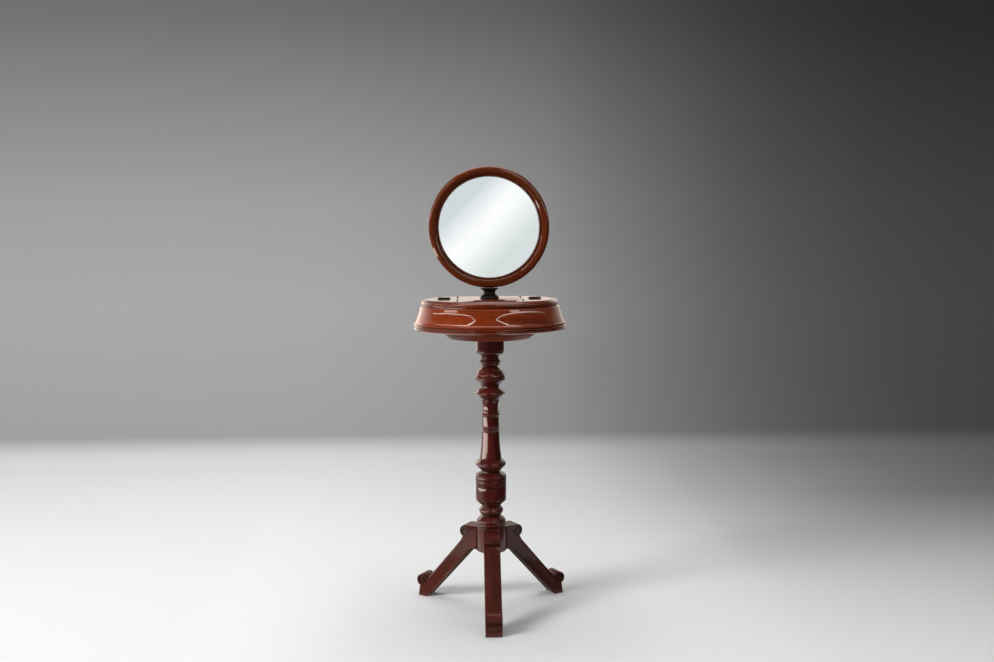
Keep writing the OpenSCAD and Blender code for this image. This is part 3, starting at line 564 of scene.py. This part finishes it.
FOOT_CUTS = [
    # Torus between two fillets
    (line, 1, WAIST_R), (line, 29, WAIST_R, 8.5), (line, 1, WAIST_R + 1.2),
    # Ovolo and its band
    (ease_out, 17, HUB_R - QUIRK), (line, 4, HUB_R - QUIRK), *groove(HUB_R - QUIRK),
    # Bead and channel over the hub that takes the legs
    (line, 7, HUB_R - QUIRK, 1.2), *channel(HUB_R), (line, 74.4, HUB_R),
]
SHAFT_CUTS = [
    # Cove, throat and band
    (ease_out, 24.7, SHAFT_R - FILLET), (line, 8, SHAFT_R - FILLET),
    (line, 1.5, SHAFT_R - QUIRK), (line, 6, SHAFT_R - QUIRK),
    # Bead, plain length and three reeds
    (line, 10, SHAFT_R + QUIRK, 3), (line, 2, SHAFT_R), (line, 29, SHAFT_R),
    *[(line, 5.6, SHAFT_R, 1.3)] * 3, (line, 2, SHAFT_R + QUIRK),
    # Taper that flares into a sharp ring, and the throat under it
    (ease_in, 83, SHAFT_R + 7), (ease_out, 15, RING_R), (line, 1, RING_R), *groove(RING_R),
    (line, 1, RING_R), (line, 17.4, WAIST_R, 1), (line, 4, WAIST_R),
    # Barrel with its shoulder, two grooves, a channel and a chamfer below
    (ease_out, 11, BARREL_R), (line, 2, BARREL_R), *groove(BARREL_R), (line, 9.6, BARREL_R),
    *groove(BARREL_R), (line, 14.2, BARREL_R), *channel(BARREL_R), (line, 42, BARREL_R),
    (line, 18, WAIST_R - 1.25, 1),
]
CAPITAL_CUTS = [
    # Plain collar, its lip and a cove
    (line, 35, COLLAR_R), (line, 3.4, COLLAR_R + QUIRK), *groove(COLLAR_R),
    (ease_in, 17, WAIST_R - FILLET), (line, 2, WAIST_R - FILLET),
    # Bead between two reeds
    (line, 7.25, WAIST_R, 2.5), (line, 9.5, WAIST_R, 6), (line, 7.25, WAIST_R - FILLET, 2.5),
    # Bell and bulb with a grooved rim
    (line, 3, WAIST_R - 2 * FILLET), (ease_out, 10, WAIST_R + 1.5 * FILLET),
    (line, 1.5, WAIST_R + 3.5 * FILLET), (ease_out, 22.5, RING_R - 1), (line, QUIRK, RING_R),
    (line, 2, RING_R), *groove(RING_R), (line, 2, RING_R), (line, QUIRK, RING_R - 3.75),
    # Foot of the bulb, neck and flare
    (line, 19, WAIST_R - 1.25), (line, 4, WAIST_R - 1.25), (ease_out, 18, RING_R),
    (line, 17.8, SHAFT_R + FILLET, 0.5),
]
POST_BORE = 11.5 * MM

foot_top = high("pillar_foot")[2]
shaft_top = low("pillar_capital")[2]
capital_top = low("drum_boss")[2]
bore_end = low("post_collar")[2] - 4 * MM
for node, r0, top, cuts, start in (
    ("pillar_foot", WAIST_R, foot_top, FOOT_CUTS, [(0, foot_top)]),
    ("pillar_shaft", SHAFT_R + FILLET, shaft_top, SHAFT_CUTS, [(0, shaft_top)]),
    ("pillar_capital", COLLAR_R, capital_top, CAPITAL_CUTS,
     [(0, bore_end), (POST_BORE, bore_end), (POST_BORE, capital_top)]),
):
    outline = turned(r0, top, cuts)
    turning = lathe(node + "_turned", np.vstack([start, outline, (0, outline[-1, 1])]))
    dress(turning, "stand", "mahogany_pillar", "pillar", node)

# Drum: boss, base moulding and frieze, all hollow. Millimetres.
DRUM_R = high("base_moulding")[0] / MM
TOP_R = high("top_board")[0] / MM
HOLLOW_R = DRUM_R - 33
FLOOR_R = HOLLOW_R + 8.1
FRIEZE_R = DRUM_R - 20
BOSS_R = 140

boss_top = high("drum_boss")[2]
outline = turned(BOSS_R - 2, boss_top, [
    (line, 2, BOSS_R), (line, 2, BOSS_R), (ease_in, 23, BOSS_R - 20)])
boss = lathe("drum_boss_turned", np.vstack([
    (POST_BORE, boss_top), outline, (POST_BORE, outline[-1, 1])]), closed=True)
dress(boss, "stand", "mahogany", "boss", "drum_boss")

frieze_z = high("base_moulding")[2]
outline = turned(DRUM_R - 4, frieze_z, [
    (line, 2, DRUM_R - 4), (ease_out, 4, DRUM_R - 1), *channel(DRUM_R - 1),
    (ease_out, 3.5, DRUM_R), (line, 1, DRUM_R), (ease_in, 4.5, FRIEZE_R)])
floor_top = high("drum_floor")[2]
inside = [(FLOOR_R * MM, outline[-1, 1]), (FLOOR_R * MM, floor_top),
          (HOLLOW_R * MM, floor_top), (HOLLOW_R * MM, frieze_z)]
base = lathe("base_moulding_turned", np.vstack([outline, inside]), DRUM_SIDES, closed=True)
dress(base, "stand", "mahogany", "moulding", "base_moulding")

board_z = high("frieze_ring")[2]
outline = turned(TOP_R - 4, board_z, [
    (ease_out, 3, FRIEZE_R), (line, 43, DRUM_R - 6, -1.8), (ease_out, 6.5, DRUM_R - 1.5),
    (line, 1.5, DRUM_R - 1.5)])
inside = [(HOLLOW_R * MM, outline[-1, 1]), (HOLLOW_R * MM, board_z)]
frieze = lathe("frieze_veneered", np.vstack([outline, inside]), DRUM_SIDES, closed=True)
dress(frieze, "stand", "mahogany", "frieze", "frieze_ring")

paint("deal", "drum_floor", "centre_block", "partition_left", "partition_right")
paint("brass", "boss_screws", "floor_screws")

# Top board and lids keep the joiner's shapes: wells, ledges and hinge rooms
for node, body in (("top_board", "stand"), ("lid_left", "left_lid"), ("lid_right", "right_lid")):
    dress(eased(node, node + "_polished", 0.6), body, "mahogany", "board", node)
for side, body in (("left", "left_lid"), ("right", "right_lid")):
    dress(eased("pull_" + side, "pull_" + side + "_bar", 0.7), body, "ebonised_wood",
          "ebonised", "pull_" + side)
    dress(eased("hinge_leaves_" + side, "fixed_leaves_" + side, 0.15), "stand", "brass",
          "brass", "hinge_leaves_" + side)
    dress(eased("lid_leaves_" + side, "moving_leaves_" + side, 0.15), body, "brass",
          "brass", "lid_leaves_" + side)
    paint("brass", "hinge_pins_" + side)

# Neck, post and tilting head
for node, body, slot_name, finish, width_mm in (
    ("neck_socket", "stand", "ebonised_wood", "ebonised", 0.5),
    ("swivel_saddle", "swivel", "ebonised_wood", "ebonised", 0.5),
    ("post_bush", "stand", "brass", "brass", 0.3),
    ("mirror_post", "post", "brass", "brass", 0.3),
    ("post_collar", "post", "iron", "iron", 0.3),
    ("swivel_screw", "post", "brass", "brass", 0.3),
    ("clamp_screw", "clamp", "brass", "brass", 0.3),
    ("tilt_bracket", "swivel", "brass", "brass", 0.4),
    ("tilt_pin", "swivel", "brass", "brass", 0.3),
    ("tilt_nut", "swivel", "brass", "brass", 0.3),
    ("frame_strap", "mirror", "brass", "brass", 0.3),
):
    dress(eased(node, node + "_eased", width_mm), body, slot_name, finish, node)

# Mirror: ring and glass are turned about an axis that faces the front, and the back board keeps
# its own solid. Millimetres.
RING_C = (0.0, 0.0, (low("mirror_frame")[2] + high("mirror_frame")[2]) / 2)
RING_OUT = high("mirror_frame")[0] / MM
FRONT, BACK = -low("mirror_frame")[1] / MM, high("mirror_frame")[1] / MM
SIGHT_R = RING_OUT - 30
REBATE_R = SIGHT_R + 6.5
BOARD_R = REBATE_R + 9
# Depths of the glass and of the back board's seat, forwards of the ring's centre
GLASS_BACK, GLASS_EDGE, GLASS_FACE = -1, 3, 4
BOARD_SEAT = -2
GLASS_BEVEL = 10
# Bead beside the glass, the quirk outside it, and the rounding of the ring's back edge
BEAD_W, BEAD_BACK = 4.2, 7
RING_QUIRK = 1.2
ROUND_W, ROUND_H = 4, 8


def ring_outline():
    """Ring in section: a small bead beside the glass, a quirk, and a broad half-round.

    The bead is a circle's arc, and the half-round and the back edge are an ellipse's.
    """
    bead_h = FRONT - BEAD_BACK
    quirk_h = bead_h - RING_QUIRK
    quirk_r = SIGHT_R + BEAD_W
    lobe = RING_OUT - quirk_r - RING_QUIRK
    a = np.radians(np.linspace(165, 0, 14))
    bead = np.stack([SIGHT_R + BEAD_W / 2 * (1 + np.cos(a)), bead_h + BEAD_W / 2 * np.sin(a)], 1)
    a = np.radians(np.linspace(170, 0, 40))
    half_round = np.stack([RING_OUT - lobe / 2 * (1 - np.cos(a)),
                           quirk_h + (FRONT - quirk_h) * np.sin(a)], 1)
    a = np.radians(np.linspace(0, 90, 10))
    edge = np.stack([RING_OUT - ROUND_W * (1 - np.cos(a)),
                     -BACK + ROUND_H * (1 - np.sin(a))], 1)
    return np.vstack([
        [(REBATE_R, GLASS_EDGE), (SIGHT_R, GLASS_EDGE), (SIGHT_R, bead_h)], bead,
        [(quirk_r, quirk_h), (quirk_r + RING_QUIRK, quirk_h)], half_round, edge,
        [(BOARD_R, -BACK), (BOARD_R, BOARD_SEAT), (REBATE_R, BOARD_SEAT)]]) * MM


ring = lathe("mirror_ring", ring_outline(), RING_SIDES, RING_C, "front", closed=True)
dress(ring, "mirror", "mahogany_ring", "ring", "mirror_frame")

glass_r, glass_out = SIGHT_R - 0.1, REBATE_R - 0.3
glass = lathe("bevelled_glass", np.array([
    (0, GLASS_BACK), (glass_out, GLASS_BACK), (glass_out, GLASS_EDGE), (glass_r, GLASS_EDGE),
    (glass_r - GLASS_BEVEL, GLASS_FACE), (0, GLASS_FACE)]) * MM, RING_SIDES, RING_C, "front")
dress(glass, "mirror", "silvered_glass", "glass", "mirror_glass")
paint("back", "back_board")
paint("brass", "back_screws", "strap_screws")

# Legs: depth of the carving, and the shallowest and deepest parts of it that count as hollow
CARVE_DEEP = 2.2 * MM
SHALLOW, DEEP = 0.2, 1.6
# The long arrises of a leg, how much they are eased, and the share that the others get
LONG_ARRIS = 60 * MM
LEG_ARRIS = 3.6 * MM
SHORT_SHARE = 0.12


def carved_leg(node, bearing_deg):
    """A leg with its long arrises well eased, and its carved hollows marked for wax and painted
    shade.

    bearing_deg is the way that the leg points, and a vertex lies in a hollow where it stands
    back from the leg's flat side. The fibres follow the line from the upper to the lower eye.
    """
    piece = copy_of(node, node + "_carved")
    mesh = piece.data
    place = np.empty(len(mesh.vertices) * 3)
    mesh.vertices.foreach_get("co", place)
    place = place.reshape(-1, 3)
    bearing = np.radians(bearing_deg)
    out = np.array([np.cos(bearing), np.sin(bearing)])
    across = place[:, 0] * out[1] - place[:, 1] * out[0]
    back = (LEG_HALF * MM - np.abs(across)) / CARVE_DEEP
    # Points that stand back in the carving are darkened by wax and painted shade
    mark(mesh, "hollow", np.where((back > SHALLOW) & (back < DEEP), np.minimum(back, 1), 0))
    fibre = np.subtract(EYES[1], EYES[0])
    fibre /= np.hypot(*fibre)
    in_plane = np.stack([place[:, :2] @ out, place[:, 2]], 1)
    beside = in_plane @ np.array([-fibre[1], fibre[0]]) + across
    lay_metres(mesh, np.stack([in_plane @ fibre, beside], 1))
    ends = np.empty(len(mesh.edges) * 2, np.int32)
    mesh.edges.foreach_get("vertices", ends)
    ends = ends.reshape(-1, 2)
    reach = np.linalg.norm(place[ends[:, 0]] - place[ends[:, 1]], axis=1)
    on_side = (back[ends] < SHALLOW).all(1)
    mark(mesh, "bevel_weight_edge", np.where((reach > LONG_ARRIS) & on_side, 1.0, SHORT_SHARE),
         "EDGE")
    bevel(piece, LEG_ARRIS, 4, "WEIGHT")
    dress(piece, "stand", "mahogany_legs", "legs", node)


for node, bearing_deg in (("leg_front", -90), ("leg_right", 30), ("leg_left", 150)):
    carved_leg(node, bearing_deg)
paint("iron", "leg_brace", "brace_screws")


# Studio: a pale sweep, soft lights, and panels that only show as reflections

# Light of the room by itself, in the polish towards -Y and +Y, and in the glass
ROOM_LIGHT = 0.25
ROOM_IN_POLISH = (0.05, 0.2)
ROOM_IN_GLASS = 0.8
# The sweep starts to curve at this Y, with this radius, and the model stands before it
SWEEP_START, SWEEP_BEND, SWEEP_STEPS = 2.0, 1.6, 48
SWEEP_FRONT, SWEEP_TOP, SWEEP_HALF = -7.0, 7.0, 9.0
# Wall tones up to 4 m, as (part of that height, tone) pairs: grey paper, with painted shade that
# darkens it upwards
WALL_HEIGHT = 4.0
WALL_TONES = [(0.015, "#AEAEAE"), (0.18, "#B5B5B5"), (0.345, "#AEAEAE"), (0.51, "#969696"),
              (0.64, "#7F7F7F"), (1.0, "#656565")]
# Shade that deepens from left to right over these X, and on the floor only over these Y
SHADE_X, SHADE_Y = (-1.0, 3.2), (-0.8, 1.3)
SHADE = [(0.0, "#FFFFFF"), (0.12, "#FAFAFA"), (0.24, "#F3F3F3"), (0.35, "#E7E7E7"),
         (0.43, "#D2D2D2"), (0.52, "#BFBFBF"), (0.62, "#AAAAAA"), (0.71, "#9C9C9C"),
         (0.86, "#8E8E8E"), (1.0, "#898989")]
# Colour of every card and panel, warmed as shellac warms what it reflects
WARM_CARD = "#FFF0E3"
BLACK = 0.02
PANEL_CENTRE, PANEL_REACH, PANEL_COLUMNS = np.array([0, 0, 0.9]), 4.0, 48


def for_rays(tree, *kinds):
    """1 for rays of these kinds of Light Path, such as Is Camera Ray, and 0 for others."""
    path = add(tree, "ShaderNodeLightPath")
    value = path.outputs[kinds[0]]
    for kind in kinds[1:]:
        value = reckon(tree, "MAXIMUM", value, path.outputs[kind])
    return value


def stage_piece(name, mesh, material):
    """Puts a mesh of the studio into the scene."""
    mesh.materials.append(material)
    piece = put(name, mesh)


def paper(name, floor, lit):
    """Studio paper: pale on the floor, grey on the wall, and it throws less light back.

    floor is its tone where it lies flat, and lit the tone that lights the model. Painted shade
    darkens it to the right, on the wall and on the floor behind the model.
    """
    material, tree = blank(name)
    part = parts(tree, solid_place(tree))
    up = spread(tree, part["Z"], (0, WALL_HEIGHT))
    # Painted shade: the wall's tones darken upwards, and the paper darkens to the right and behind
    # the model
    plain = ramp(tree, up, [(0.001, floor), *WALL_TONES])
    shade = ramp(tree, spread(tree, part["X"], SHADE_X), SHADE)
    seen = tinted(tree, spread(tree, part["Y"], SHADE_Y), plain, shade, "MULTIPLY")
    who = for_rays(tree, "Is Camera Ray", "Is Glossy Ray", "Is Transmission Ray")
    polish(tree, Base_Color=tinted(tree, who, linear(lit), seen), Roughness=0.6,
           Specular_IOR_Level=0.2)
    return material


def sweep():
    """Pale floor that curves up into a backdrop along a quarter circle, as one sheet."""
    a = np.linspace(0, np.pi / 2, SWEEP_STEPS)
    back = SWEEP_START + SWEEP_BEND
    y = np.concatenate([[SWEEP_FRONT], SWEEP_START + SWEEP_BEND * np.sin(a), [back]])
    z = np.concatenate([[0.0], SWEEP_BEND * (1 - np.cos(a)), [SWEEP_TOP]])
    rows = [np.stack([np.full_like(y, x), y, z], 1) for x in (-SWEEP_HALF, SWEEP_HALF)]
    n = len(y)
    mesh = mesh_of("sweep", np.concatenate(rows),
                   [(i, i + n, i + n + 1, i + 1) for i in range(n - 1)])
    mesh.shade_smooth()
    stage_piece("sweep", mesh, paper("pale_paper", "#F4F4F4", "#A8A8A8"))


def soft_light(name, place, aim, size, power):
    """A rectangular soft light, size = (width, height) in metres, that no polish reflects."""
    data = bpy.data.lights.new(name, "AREA")
    data.shape = "RECTANGLE"
    data.size, data.size_y = size
    data.energy = power
    lamp = put(name, data)
    lamp.location = place
    lamp.rotation_euler = (Vector(aim) - Vector(place)).to_track_quat("-Z", "Y").to_euler()
    lamp.visible_glossy = False


def seen_by(tree, who, glow):
    """Ends a material in a glow for some rays, and lets the others through."""
    clear = add(tree, "ShaderNodeBsdfTransparent").outputs[0]
    shows = add(tree, "ShaderNodeMixShader", {0: who, 1: clear, 2: glow.outputs[0]}).outputs[0]
    add(tree, "ShaderNodeOutputMaterial", {"Surface": shows})


def seen_in_polish(tree, tone):
    """Shows a warm glow only to soft reflections, and neither to the camera nor in the glass."""
    glow = add(tree, "ShaderNodeEmission", {"Color": linear(WARM_CARD), "Strength": tone})
    seen_by(tree, reckon(tree, "SUBTRACT", for_rays(tree, "Is Glossy Ray"),
                         for_rays(tree, "Is Singular Ray"), clamp=True), glow)


def panel(name, upper, lower, tone, edge=0.0, edge_tones=(0, 0)):
    """A studio panel on a sphere round the drum, seen only as a reflection in the polish.

    upper and lower are (azimuth, elevation) pairs in degrees, azimuth from the front and
    positive to the right. At azimuth a and elevation e the sphere's point lies at
    (sin a cos e, -cos a cos e, sin e). edge is the width in degrees that is lit along both
    borders, and its tone runs from the first to the second value rightwards.
    """
    azimuth = np.linspace(upper[0][0], upper[-1][0], PANEL_COLUMNS)
    az = np.radians(azimuth)
    rows = []
    for side in (lower, upper):
        el = np.radians(np.interp(azimuth, *np.array(side).T))
        way = np.stack([np.sin(az) * np.cos(el), -np.cos(az) * np.cos(el), np.sin(el)], 1)
        rows.append(PANEL_CENTRE + PANEL_REACH * way)
    n = PANEL_COLUMNS
    mesh = mesh_of(name, np.concatenate(rows),
                   [(i, i + 1, n + i + 1, n + i) for i in range(n - 1)])
    tall = np.degrees(np.linalg.norm(rows[1] - rows[0], axis=1) / PANEL_REACH)
    mark(mesh, "border", np.concatenate([-tall, tall]))
    mark(mesh, "tall", np.tile(tall, 2))
    mark(mesh, "lit", np.tile(np.linspace(*edge_tones, n), 2))
    material, tree = blank(name)
    off = reckon(tree, "ABSOLUTE", kept(tree, "border"))
    from_edge = reckon(tree, "SUBTRACT", kept(tree, "tall"), off)
    at_edge = reckon(tree, "LESS_THAN", from_edge, 2 * edge)
    seen_in_polish(tree, between(tree, at_edge, tone, kept(tree, "lit")))
    stage_piece(name, mesh, material)


def card(name, centre, along, up, tone, end_tone=None):
    """A flat card, centre +- along +- up, whose tone may run to another at its far end."""
    centre, along, up = (np.array(v, float) for v in (centre, along, up))
    mesh = mesh_of(name, [centre - along - up, centre + along - up, centre + along + up,
                          centre - along + up], [(0, 1, 2, 3)])
    far = tone if end_tone is None else end_tone
    mark(mesh, "tone", (tone, far, far, tone))
    material, tree = blank(name)
    seen_in_polish(tree, kept(tree, "tone"))
    stage_piece(name, mesh, material)


def glass_card():
    """A card behind the camera, brighter along a diagonal, that shows only in the glass.

    Only the glass is perfectly sharp, so that singular rays are the ones that it sends out.
    """
    material, tree = blank("card_with_soft_diagonal")
    part = parts(tree, solid_place(tree))
    across = reckon(tree, "SUBTRACT", part["Z"], part["X"])
    tone = ramp(tree, spread(tree, across, (0.35, 1.95)), [
        (0.0, "#D8DFDF"), (0.25, "#EBF0F0"), (0.42, "#FAFCFC"), (0.6, "#FFFFFF"),
        (0.78, "#EEF2F3"), (1.0, "#D2DADB")])
    glow = add(tree, "ShaderNodeEmission", {"Color": tone, "Strength": 1.06})
    seen_by(tree, for_rays(tree, "Is Singular Ray"), glow)
    left, right, bottom, top, y = -1.7, 1.9, -0.6, 3.0, -4.5
    mesh = mesh_of("glass_card", [(left, y, bottom), (right, y, bottom), (right, y, top),
                                  (left, y, top)], [(0, 1, 2, 3)])
    stage_piece("glass_card", mesh, material)


def studio_world():
    """Soft grey room, darker behind the camera, and pale all round where the glass looks at it."""
    world = bpy.data.worlds.new("studio")
    bpy.context.scene.world = world
    world.use_nodes = True
    tree = world.node_tree
    tree.nodes.clear()
    way = add(tree, "ShaderNodeTexCoord").outputs["Generated"]
    reflected = spread(tree, parts(tree, way)["Y"], (-1.0, 1.0), ROOM_IN_POLISH)
    polished = between(tree, for_rays(tree, "Is Glossy Ray"), ROOM_LIGHT, reflected)
    strength = between(tree, for_rays(tree, "Is Singular Ray"), polished, ROOM_IN_GLASS)
    back = add(tree, "ShaderNodeBackground", {"Color": linear("#F2F2F2"), "Strength": strength})
    add(tree, "ShaderNodeOutputWorld", {"Surface": back.outputs[0]})


sweep()
soft_light("key_left", (-5.4, -2.9, 3.7), (0, 0, 0.9), (2.1, 3.15), 385)
soft_light("fill_right", (2.6, -1.6, 1.4), (0, 0, 0.8), (0.35, 1.8), 8)
soft_light("above", (0.0, 0.6, 3.4), (0, 0, 0.9), (2.4, 2.0), 50)

panel("flag_left",
      [(-125, 22), (-112, 24.5), (-94, 29.5), (-79, 33.8), (-64, 37), (-50, 39.3), (-40, 40.5),
       (-34, 39.6), (-30, 38.4), (-27, 37), (-25, 35.6)],
      [(-125, 8), (-112, 10), (-92, 13.4), (-72, 15.4), (-47, 19.4), (-33, 22.4), (-25, 34.4)],
      BLACK, 1.4, (4.0, 16.0))
panel("flag_right",
      [(8.5, 33.4), (16, 38.2), (32, 41.3), (52, 39.6), (70, 35.7), (91, 30), (100, 27.3)],
      [(8.5, 32.6), (15, 25.2), (24.5, 20.3), (39, 17.4), (56, 15.3), (78, 13.2), (100, 12)],
      BLACK, 1.4, (14.0, 0.0))
panel("dash_left", [(-78, 14), (-54, 16.5)], [(-78, 12.5), (-54, 15)], 6.0)
panel("dash_right", [(31, 17.8), (47, 16.5)], [(31, 16.3), (47, 15)], 5.0)
card("strip_left", (-2.0, -0.8, 0.24), (0, 1.5, 0), (0, 0, 0.20), 8.0)
card("white_above", (0, 0.4, 3.3), (1.2, 0, 0), (0, 1.0, 0), 3.0)
card("black_behind_neck", (0, 0.07, 1.0), (0.05, 0, 0), (0, 0, 0.025), BLACK)
card("black_floor_under", (0, 0.05, 0.012), (0.45, 0, 0), (0, 0.45, 0), 0.12)
card("strip_behind_left", (-1.9, 1.5, 1.3), (0.75, 0.95, 0), (0, 0, 0.75), 0.2, 2.7)
card("strip_behind_right", (1.8, 1.8, 1.6), (0.8, -1.1, 0), (0, 0, 0.75), 1.1, 0.0)
card("white_behind", (0, 3.0, 1.45), (1.6, 0, 0), (0, 0, 0.4), 0.8, 0.95)
card("black_floor_front", (0, -3.8, 0.01), (6.0, 0, 0), (0, 3.2, 0), BLACK)
card("black_floor_left", (-3.5, 1.0, 0.01), (2.6, 0, 0), (0, 1.6, 0), 0.5)
card("black_floor_right", (3.5, 1.0, 0.01), (2.6, 0, 0), (0, 1.6, 0), BLACK)
card("black_right", (2.4, 0.5, 0.55), (0, 2.5, 0), (0, 0, 0.55), BLACK)
glass_card()
studio_world()
bpy.context.scene.view_settings.view_transform = "Standard"
